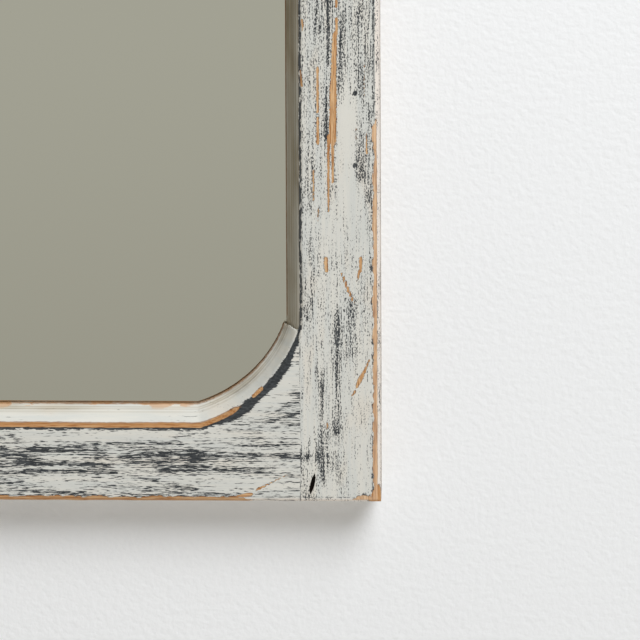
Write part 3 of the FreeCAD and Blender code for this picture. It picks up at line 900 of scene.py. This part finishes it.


# White paint, cool and warm in places, and paler along the outer arris and sides, partly from thinner paint
# and partly as a painted highlight

WHITE_PAINT = colour(224, 221, 211)
WARM_PAINT = colour(227, 218, 203)
COOL_PAINT = colour(214, 214, 207)
# Paler paint for the outer arris and sides: partly thinner paint, partly a painted highlight for the light
# that falls on them
PALE_SIDE_AND_HIGHLIGHT = colour(240, 228, 216)
TINT_GRIT = (0.004, 0.01, 0.06, 3.0, 0.6, 13.0)
TINT_SPAN = (0.35, 0.65)
WARM_SPAN = (0.52, 0.7)
WARM_SHARE = 0.5
THIN_AND_LIT_SPAN = (0.0034, 0.0024)
THIN_AND_LIT_SHARE = 0.75


def white_paint(graph, spot):
    """Colour of the top coat, paler along the outer arris: partly thinner paint, partly painted highlight.
    """
    tint = graph.step(graph.noise(spot.grain, TINT_GRIT), *TINT_SPAN)
    warm = graph.product(graph.step(spot.patches, *WARM_SPAN), WARM_SHARE)
    # Painted highlight, partly thinner paint: the outer arris and sides turn paler
    thin_and_lit = graph.product(graph.step(spot.gap_out, *THIN_AND_LIT_SPAN), THIN_AND_LIT_SHARE)
    coat = graph.blend(warm, graph.blend(tint, COOL_PAINT, WHITE_PAINT), WARM_PAINT)
    return graph.blend(thin_and_lit, coat, PALE_SIDE_AND_HIGHLIGHT)


# The bevel: stained in lines, and rubbed down to the wood at its lip against the glass

BEVEL_TONE = colour(138, 128, 102)
BEVEL_STAIN = colour(146, 130, 96)
BEVEL_LINE = colour(98, 80, 54)
LIP_BROWN = colour(138, 92, 50)
STAIN_GRIT = (0.0011, 0.0011, 1.0, 3.0, 0.6, 15.0)
STAIN_SPAN = (0.56, 0.9)
LINE_GRIT = (0.0006, 0.0006, 1.0, 2.0, 0.5, 25.0)
LINE_SPAN = (0.88, 1.0)
LINE_TONE_SHARE = 0.75
BREAK_GRIT = (0.02, 0.02, 0.045, 2.0, 0.5, 17.0)
STAIN_BREAK_SHARE = 0.5
LINE_BREAK_SHARE = 0.6
LIP_WIDTH = 0.0007
LIP_RAGGED = 0.0012
LIP_SHARE = 0.75
LIP_SPAN = (0.01, 0.014)
RUB_GRIT = (0.02, 0.02, 0.022, 2.0, 0.5, 19.0)
RUB_SPAN = (0.49, 0.67)
RUB_RAGGED = 0.0045
RUB_START = 0.001
RUB_SHARE = 0.65
RUB_END = OPENING_X - EAR_RUN
RUB_FADE = 0.01


def stained_bevel(graph, spot, brushwork, layers):
    """The layers with brown stains and lines along the bevel."""
    place = graph.join(spot.gap_in, spot.depth, 0.0)
    breaks = graph.noise(spot.grain, BREAK_GRIT)
    stain = graph.total(graph.noise(place, STAIN_GRIT), (breaks, STAIN_BREAK_SHARE))
    line = graph.total(graph.noise(place, LINE_GRIT), (breaks, LINE_BREAK_SHARE))
    stained = graph.step(spot.gap_in, *brushwork.stain_span)
    stain_share = graph.product(graph.step(stain, *STAIN_SPAN), stained, brushwork.stain_share)
    line_share = graph.product(graph.step(line, *LINE_SPAN), stained, LINE_TONE_SHARE)
    toned = graph.blend(graph.product(spot.on_bevel, brushwork.tone_share), layers, BEVEL_TONE)
    return graph.blend(line_share, graph.blend(stain_share, toned, BEVEL_STAIN), BEVEL_LINE)


def worn_lip(graph, spot, brushwork, layers):
    """The layers with the lip rubbed down to brown wood."""
    lip = graph.total((spot.gap_in, -1.0), LIP_WIDTH - BEVEL_RUN, (spot.ragged, LIP_RAGGED))
    rub = graph.step(graph.noise(spot.grain, RUB_GRIT), *RUB_SPAN)
    reach = (rub, brushwork.rub_reach)
    rubbed = graph.total(lip, (spot.ragged, RUB_RAGGED), reach, -RUB_START)
    deep = graph.step(spot.depth, *LIP_SPAN)
    off_ear = graph.step(spot.across, RUB_END, RUB_END - RUB_FADE)
    layers = graph.blend(graph.product(inside(graph, rubbed), deep, off_ear, RUB_SHARE), layers, PINE)
    return graph.blend(graph.product(inside(graph, lip), deep, LIP_SHARE), layers, LIP_BROWN)


# The back is bare, but for a ragged lap of paint around its edge

BACK_SPAN = (0.024, 0.0242)
PAINT_LAP = 0.0065
LAP_RAGGED = 0.006
LAP_CHEW = 0.01


def bare_back(graph, spot):
    """Share of bare wood on the back."""
    lapped = graph.total(spot.gap_out, (spot.ragged, LAP_RAGGED), (spot.chew, LAP_CHEW), -PAINT_LAP)
    return graph.product(graph.step(spot.depth, *BACK_SPAN), inside(graph, lapped))


# Inside of the pitch pocket

POCKET_DARK = colour(30, 22, 17)
POCKET_TOP_SPAN = (0.0012, 0.002)
POCKET_FOOT_SPAN = (0.008, 0.007)


def in_pocket(graph, spot):
    """Share of pitch in the pocket."""
    top = graph.step(spot.depth, *POCKET_TOP_SPAN)
    foot = graph.step(spot.depth, *POCKET_FOOT_SPAN)
    return graph.product(top, foot, graph.field("pocket"))


# All layers of paint together

CHARCOAL = colour(46, 49, 52)
CHARCOAL_PALE = colour(80, 83, 85)
SOOT_SPAN = (-0.15, 0.25)
ARRIS_SHARE = 0.35
MARK_GRIT = (0.0006, 0.0006, 0.016, 3.0, 0.6, 21.0)
MARK_SHARE = 0.5
FLECK_RISE_SHARE = 0.4
DARK_SINK_SHARE = 0.6
WOOD_SINK_SHARE = 0.9
PAINT_RELIEF = 0.00018
PAINT_ROUGHNESS = 0.62
FLECK_ROUGHNESS = 0.2
WOOD_ROUGHNESS = 0.08


def painted_wood(name, brushwork):
    """White paint over charcoal on pine, with all its wear, and painted highlight and shade on the bare
    outer arris.
    """
    graph = Graph(name)
    spot = spot_on(graph, brushwork)
    bare_inner, ring_inner, brown = inner_edge(graph, spot)
    bare_outer, ring_outer = outer_edge(graph, spot, brushwork)
    bare_streak, ring_streak = face_streaks(graph, spot)
    lines = graph.most(joint_line(graph, spot), edge_line(graph, spot))
    dark = graph.most(ring_inner, ring_outer, ring_streak, lines, dry_brush(graph, spot, brushwork))
    wood = graph.most(bare_inner, bare_outer, bare_streak)
    pine = pine_colour(graph, spot.grain)
    soot = graph.blend(graph.step(spot.ragged, *SOOT_SPAN), CHARCOAL, CHARCOAL_PALE)
    layers = graph.blend(dark, white_paint(graph, spot), soot)
    layers = graph.blend(brown, stained_bevel(graph, spot, brushwork, layers), LIP_BROWN)
    layers = graph.blend(wood, layers, pine)
    # Bare outer arris tinted with painted light: a highlight on the stiles, shade on the rails
    layers = graph.blend(graph.product(bare_outer, brushwork.edge_light_and_shade_share), layers, brushwork.edge_light_and_shade)
    layers = graph.blend(graph.product(bare_inner, ARRIS_SHARE), layers, LIP_BROWN)
    layers = worn_lip(graph, spot, brushwork, layers)
    layers = graph.blend(bare_back(graph, spot), layers, pine)
    layers = graph.blend(in_pocket(graph, spot), layers, POCKET_DARK)
    marks = (graph.noise(spot.grain, MARK_GRIT), MARK_SHARE)
    flecks = (spot.flecks, FLECK_RISE_SHARE)
    height = graph.total((dark, -DARK_SINK_SHARE), (wood, -WOOD_SINK_SHARE), marks, flecks)
    rough = graph.total(PAINT_ROUGHNESS, (spot.flecks, FLECK_ROUGHNESS), (wood, WOOD_ROUGHNESS))
    return graph.finish(Base_Color=layers, Roughness=rough, Normal=graph.bump(height, PAINT_RELIEF))


# Mirror with faint smears and a few specks of dust

SILVER = colour(236, 237, 234)
DUST = colour(206, 204, 196)
SMEAR_GRIT = (0.06, 0.06, 0.11, 4.0, 0.6, 0.0)
SMEAR_SPAN = (0.45, 0.75)
DUST_GRIT = (0.0016, 0.0016, 0.0016, 1.0, 0.4, 0.0)
DUST_SPAN = (0.8, 0.86)
SILVER_ROUGHNESS = 0.02
SMEAR_ROUGHNESS = 0.03
DUST_ROUGHNESS = 0.25


def silvered_glass():
    """Material of the pane."""
    graph = Graph("silvered_glass")
    smear = graph.step(graph.noise(graph.place(), SMEAR_GRIT), *SMEAR_SPAN)
    speck = graph.step(graph.noise(graph.place(), DUST_GRIT), *DUST_SPAN)
    rough = graph.total((smear, SMEAR_ROUGHNESS), (speck, DUST_ROUGHNESS), SILVER_ROUGHNESS)
    return graph.finish(Base_Color=graph.blend(speck, SILVER, DUST), Metallic=1.0, Roughness=rough)


# Zinc plate with a dull crystalline bloom and fine scratches

ZINC = colour(172, 174, 172)
ZINC_PALE = colour(206, 204, 196)
ZINC_GRIT = (0.003, 0.003, 0.003, 4.0, 0.6, 0.0)
ZINC_SPAN = (0.35, 0.7)
SCRATCH_GRIT = (0.0004, 0.01, 0.006, 3.0, 0.6, 4.0)
SCRATCH_SPAN = (0.55, 0.7)
SCRATCH_RELIEF = 0.00004
ZINC_ROUGHNESS = 0.26
BLOOM_ROUGHNESS = 0.22
SCRATCH_ROUGHNESS = 0.1


def zinc_steel():
    """Material of the turn buttons, hangers and screws."""
    graph = Graph("zinc_steel")
    bloom = graph.noise(graph.place(), ZINC_GRIT)
    scratch = graph.noise(graph.place(), SCRATCH_GRIT)
    tone = graph.blend(graph.step(bloom, *ZINC_SPAN), ZINC, ZINC_PALE)
    scratched = (graph.step(scratch, *SCRATCH_SPAN), SCRATCH_ROUGHNESS)
    rough = graph.total(ZINC_ROUGHNESS, (bloom, BLOOM_ROUGHNESS), scratched)
    normal = graph.bump(scratch, SCRATCH_RELIEF)
    return graph.finish(Base_Color=tone, Metallic=1.0, Roughness=rough, Normal=normal)


# Brown pressed fibre with the screen marks of its rough side

BOARD_DEEP = colour(98, 66, 42)
BOARD_PALE = colour(146, 106, 70)
BOARD_CLOUD = colour(112, 76, 48)
BOARD_FIBRE_GRIT = (0.0014, 0.0014, 0.003, 5.0, 0.65, 0.0)
BOARD_FIBRE_SPAN = (0.3, 0.72)
CLOUD_GRIT = (0.06, 0.06, 0.08, 3.0, 0.5, 6.0)
CLOUD_SPAN = (0.4, 0.66)
CLOUD_SHARE = 0.5
SCREEN_PITCH = 0.0022
SCREEN_SHARE = 0.3
BOARD_RELIEF = 0.00018
BOARD_ROUGHNESS = 0.85


def hardboard():
    """Material of the backing board."""
    graph = Graph("hardboard")
    place = graph.place()
    x, y, z = graph.split(place)
    fibre = graph.noise(place, BOARD_FIBRE_GRIT)
    cloud = graph.product(graph.step(graph.noise(place, CLOUD_GRIT), *CLOUD_SPAN), CLOUD_SHARE)
    tone = graph.blend(graph.step(fibre, *BOARD_FIBRE_SPAN), BOARD_DEEP, BOARD_PALE)
    tone = graph.blend(cloud, tone, BOARD_CLOUD)
    turn = 2 * math.pi / SCREEN_PITCH
    across = graph.math("SINE", graph.product(x, turn))
    upright = graph.math("SINE", graph.product(z, turn))
    height = graph.total((graph.product(across, upright), SCREEN_SHARE), fibre)
    normal = graph.bump(height, BOARD_RELIEF)
    return graph.finish(Base_Color=tone, Roughness=BOARD_ROUGHNESS, Normal=normal)


# Matt rubber with a grey bloom

RUBBER = colour(34, 34, 35)
RUBBER_PALE = colour(62, 61, 60)
RUBBER_BLOOM_GRIT = (0.0025, 0.0025, 0.0025, 4.0, 0.6, 0.0)
RUBBER_BLOOM_SPAN = (0.4, 0.75)
RUBBER_GRIT = (0.0003, 0.0003, 0.0003, 2.0, 0.6, 2.0)
RUBBER_RELIEF = 0.00004
RUBBER_ROUGHNESS = 0.68
RUBBER_BLOOM_ROUGHNESS = 0.2


def black_rubber():
    """Material of the bumpers and the setting blocks."""
    graph = Graph("black_rubber")
    bloom = graph.noise(graph.place(), RUBBER_BLOOM_GRIT)
    tone = graph.blend(graph.step(bloom, *RUBBER_BLOOM_SPAN), RUBBER, RUBBER_PALE)
    rough = graph.total(RUBBER_ROUGHNESS, (bloom, RUBBER_BLOOM_ROUGHNESS))
    normal = graph.bump(graph.noise(graph.place(), RUBBER_GRIT), RUBBER_RELIEF)
    return graph.finish(Base_Color=tone, Roughness=rough, Normal=normal)


# Pale beech with short flecks

BEECH = colour(222, 190, 150)
BEECH_DEEP = colour(190, 148, 106)
BEECH_GRIT = (0.0006, 0.0006, 0.003, 3.0, 0.6, 0.0)
BEECH_SPAN = (0.4, 0.66)
BEECH_RELIEF = 0.00006
BEECH_ROUGHNESS = 0.7


def beech():
    """Material of the dowels."""
    graph = Graph("beech")
    x, y, z = graph.split(graph.place())
    fleck = graph.noise(graph.join(z, y, x), BEECH_GRIT)
    tone = graph.blend(graph.step(fleck, *BEECH_SPAN), BEECH, BEECH_DEEP)
    return graph.finish(Base_Color=tone, Roughness=BEECH_ROUGHNESS, Normal=graph.bump(fleck, BEECH_RELIEF))


# Fittings, glass and board keep their CAD shape; the sharp edges of stamped and cut ones are broken

EDGE_BREAK = 0.00022
EDGE_SEGMENTS = 2
EDGE_ANGLE = math.radians(40)
WELD_SHARE = 0.02


def dress(nodes, material):
    """Gives CAD nodes a material."""
    for node in nodes:
        coat(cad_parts[node].data, material)


def soften(nodes):
    """Breaks the sharp edges of CAD nodes."""
    for node in nodes:
        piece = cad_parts[node]
        weld = piece.modifiers.new("weld", "WELD")
        weld.merge_threshold = EDGE_BREAK * WELD_SHARE
        bevel = piece.modifiers.new("edge_break", "BEVEL")
        bevel.width = EDGE_BREAK
        bevel.segments = EDGE_SEGMENTS
        bevel.limit_method = "ANGLE"
        bevel.angle_limit = EDGE_ANGLE


# Build the object

stile_paint = painted_wood("stile_paint", StileBrushwork)
rail_paint = painted_wood("rail_paint", RailBrushwork)
for index, node in enumerate(MEMBERS):
    member = worn_member(node, np.random.default_rng(CHANCE_SEED + index))
    coat(member.data, stile_paint if node.endswith("stile") else rail_paint)

names = sorted(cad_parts)
fittings = [name for name in names if name.startswith(("turn_button", "hanger_plate"))]
rubbers = [name for name in names if name.startswith(("wall_bumper", "setting_blocks"))]
dress(fittings, zinc_steel())
dress(rubbers, black_rubber())
dress([name for name in names if name.startswith("dowels")], beech())
dress(["mirror_glass"], silvered_glass())
dress(["backing_board"], hardboard())
soften(fittings + rubbers + ["backing_board"])


# Stage: a floor, a wall behind the mirror, far walls around the viewer, and a card in the mirror

FLOOR_TONE = colour(232, 231, 228)
FLOOR_ROUGHNESS = 0.9
FLOOR_DROP = 0.75
FLOOR_SIZE = 8.0
WALL_TONE = colour(245, 245, 244)
WALL_GRIT = (0.004, 0.004, 0.004, 2.0, 0.5, 0.0)
WALL_RELIEF = 0.0004
WALL_SIZE = 3.4
WALL_CLEARANCE = 0.0004
FAR_DISTANCE = 3.0
FAR_SIZE = 9.0
CARD_FOOT = colour(160, 157, 144)
CARD_HEAD = colour(176, 174, 161)
CARD_DISTANCE = 1.4
CARD_SIZE = 30.0
CARD_FALL = 0.25
LEVEL = (0, 0, 0)
QUARTER_TURN = math.radians(90)
FACING_FRONT = (QUARTER_TURN, 0, 0)
FACING_WALL = (-QUARTER_TURN, 0, 0)
FACING_RIGHT = (0, QUARTER_TURN, 0)
FACING_LEFT = (0, -QUARTER_TURN, 0)


def sheet(name, size, place, turn, material):
    """A square stage sheet, facing up before it is turned."""
    half = size / 2
    mesh = bpy.data.meshes.new(name)
    corners = [(-half, -half, 0), (half, -half, 0), (half, half, 0), (-half, half, 0)]
    mesh.from_pydata(corners, [], [(0, 1, 2, 3)])
    mesh.materials.append(material)
    piece = add_object(name, mesh)
    piece.location = place
    piece.rotation_euler = turn
    return piece


def floor_paint():
    """Matt pale stage paint."""
    return Graph("floor_paint").finish(Base_Color=FLOOR_TONE, Roughness=FLOOR_ROUGHNESS)


def wall_paint():
    """Pale matt backdrop that shows from the front only, so that the back stays in view."""
    graph = Graph("wall_paint")
    normal = graph.bump(graph.noise(graph.place(), WALL_GRIT), WALL_RELIEF)
    matt = graph.node("BsdfDiffuse", Color=WALL_TONE, Normal=normal)
    clear = graph.node("BsdfTransparent")
    mix = graph.node("MixShader")
    graph.put(mix.inputs[0], graph.node("NewGeometry").outputs["Backfacing"])
    graph.put(mix.inputs[1], matt.outputs[0])
    graph.put(mix.inputs[2], clear.outputs[0])
    return graph.surface(mix)


def card_paint():
    """A warm grey for the mirror to show, a little darker towards its foot."""
    graph = Graph("card_paint")
    height = graph.split(graph.place())[1]
    share = graph.step(height, -CARD_FALL, CARD_FALL)
    graph.material.cycles.emission_sampling = "NONE"
    return graph.surface(graph.node("Emission", Color=graph.blend(share, CARD_FOOT, CARD_HEAD)))


def hide(piece, *rays):
    """Keeps a piece out of sight of these kinds of ray."""
    for ray in rays:
        setattr(piece, f"visible_{ray}", False)


def screen(name, size, place, turn):
    """A pale backdrop for the camera alone, seen from its front only."""
    piece = sheet(name, size, place, turn, wall_paint())
    hide(piece, "diffuse", "glossy", "transmission", "shadow")


sheet("floor", FLOOR_SIZE, (0, 0, BOTTOM_Z - FLOOR_DROP), LEVEL, floor_paint())
screen("wall", WALL_SIZE, (0, WALL_Y + WALL_CLEARANCE, MIDDLE_Z), FACING_FRONT)
screen("far_wall", FAR_SIZE, (0, -FAR_DISTANCE, MIDDLE_Z), FACING_WALL)
screen("left_wall", FAR_SIZE, (-FAR_DISTANCE, 0, MIDDLE_Z), FACING_RIGHT)
screen("right_wall", FAR_SIZE, (FAR_DISTANCE, 0, MIDDLE_Z), FACING_LEFT)


# Camera at the angle of the photograph

CAMERA_ELEVATION = math.radians(24)
CAMERA_AZIMUTH = math.radians(1.2)
CAMERA_ROLL = math.radians(-0.25)
CAMERA_DISTANCE = 10.5
CLIP_END = 100.0
VIEW_WIDTH = 0.3787
SENSOR = 36.0
AIM_LEFT = 0.036
AIM_UP = 0.1192


def towards(azimuth, elevation):
    """Unit vector to a viewer at this azimuth and elevation, in radians."""
    level = math.cos(elevation)
    return Vector((math.sin(azimuth) * level, -math.cos(azimuth) * level, math.sin(elevation)))


def look(piece, target):
    """Turns a lamp or camera so that it looks at the target."""
    piece.rotation_euler = (target - piece.location).to_track_quat("-Z", "Y").to_euler()


aim = Vector((RIGHT_X - AIM_LEFT, FRONT_Y, BOTTOM_Z + AIM_UP))
camera_data = bpy.data.cameras.new("camera")
camera_data.sensor_width = SENSOR
camera_data.lens = SENSOR * CAMERA_DISTANCE / VIEW_WIDTH
camera_data.clip_end = CLIP_END
camera = add_object("camera", camera_data)
camera.location = aim + CAMERA_DISTANCE * towards(CAMERA_AZIMUTH, CAMERA_ELEVATION)
look(camera, aim)
camera.rotation_euler.rotate_axis("Z", CAMERA_ROLL)
scene.camera = camera

# The card lies where the mirror sends the camera's line of sight
sent = towards(-CAMERA_AZIMUTH, -CAMERA_ELEVATION)
card = sheet("card", CARD_SIZE, aim + sent * CARD_DISTANCE, FACING_FRONT, card_paint())
hide(card, "camera", "diffuse", "transmission", "shadow")


# Soft studio light

KEY_DIRECTION = Vector((0.71, -1.0, 1.25)).normalized()
KEY_TONE = colour(247, 250, 255)
KEY_POWER = 127.0
BACK_DIRECTION = Vector((-0.5, 1.0, 0.7)).normalized()
BACK_TONE = colour(255, 255, 255)
BACK_POWER = 91.0
LAMP_DISTANCE = 3.2
LAMP_SIZE = 1.6
WORLD_TONE = colour(245, 237, 221)
WORLD_STRENGTH = 0.16


def lamp(name, direction, tone, power, in_metal):
    """A soft box that faces the middle of the mirror, out of sight, but perhaps seen in metal."""
    data = bpy.data.lights.new(name, "AREA")
    data.shape = "SQUARE"
    data.size = LAMP_SIZE
    data.color = tone[:3]
    data.energy = power
    middle = Vector((0, 0, MIDDLE_Z))
    piece = add_object(name, data)
    piece.location = middle + direction * LAMP_DISTANCE
    look(piece, middle)
    piece.visible_camera = False
    piece.visible_glossy = in_metal


lamp("key", KEY_DIRECTION, KEY_TONE, KEY_POWER, False)
lamp("back", BACK_DIRECTION, BACK_TONE, BACK_POWER, True)
world = bpy.data.worlds.new("studio")
world.use_nodes = True
sky = world.node_tree.nodes["Background"]
sky.inputs["Color"].default_value = WORLD_TONE
sky.inputs["Strength"].default_value = WORLD_STRENGTH
scene.world = world
scene.view_settings.view_transform = "Standard"
